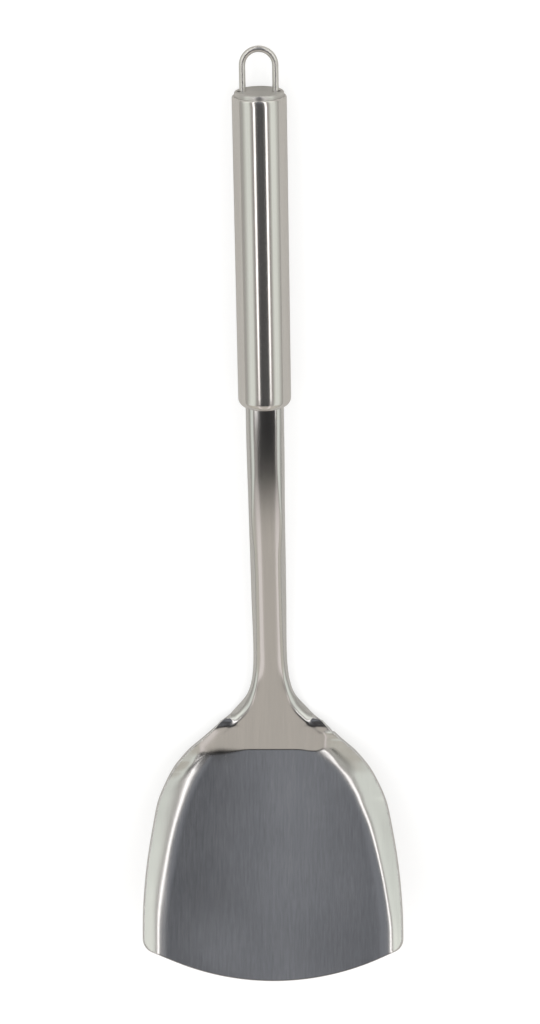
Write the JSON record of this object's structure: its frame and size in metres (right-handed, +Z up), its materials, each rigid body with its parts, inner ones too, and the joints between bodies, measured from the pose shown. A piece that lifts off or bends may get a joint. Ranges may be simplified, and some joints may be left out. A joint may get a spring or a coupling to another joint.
{
  "type": "wok turner",
  "caption": "Stainless steel wok turner: wide dished blade with flared side walls, sloping shoulder, arched shank, round hollow handle and a wire hanging loop.",
  "frame": {"origin": "middle of the box around the turner, on the table it lies on", "axes": "+Y from the blade to the hanging loop, +Z up from the table, +X to the right seen from above with the loop away from the viewer; the turner lies on the two turned-down edges by its heel and the end of its handle, so the front of the blade stands up"},
  "size_m": [0.1056, 0.3752, 0.0408],
  "materials": {
    "blade_steel": "lengthwise fine brushing, edges tumbled smooth",
    "handle_steel": "lengthwise fine polish, nearly mirror across the tube",
    "wire_steel": "drawn wire, bright",
    "weld_steel": "as welded, dull, lightly heat tinted"
  },
  "bodies": {
    "root": {"blade_and_shank": "blade_steel", "handle_tube": "handle_steel", "mouth_plate": "blade_steel", "shank_weld": "weld_steel", "end_cap": "handle_steel", "cap_weld": "weld_steel", "hanging_loop": "wire_steel", "loop_weld": "weld_steel"}
  },
  "joints": []
}
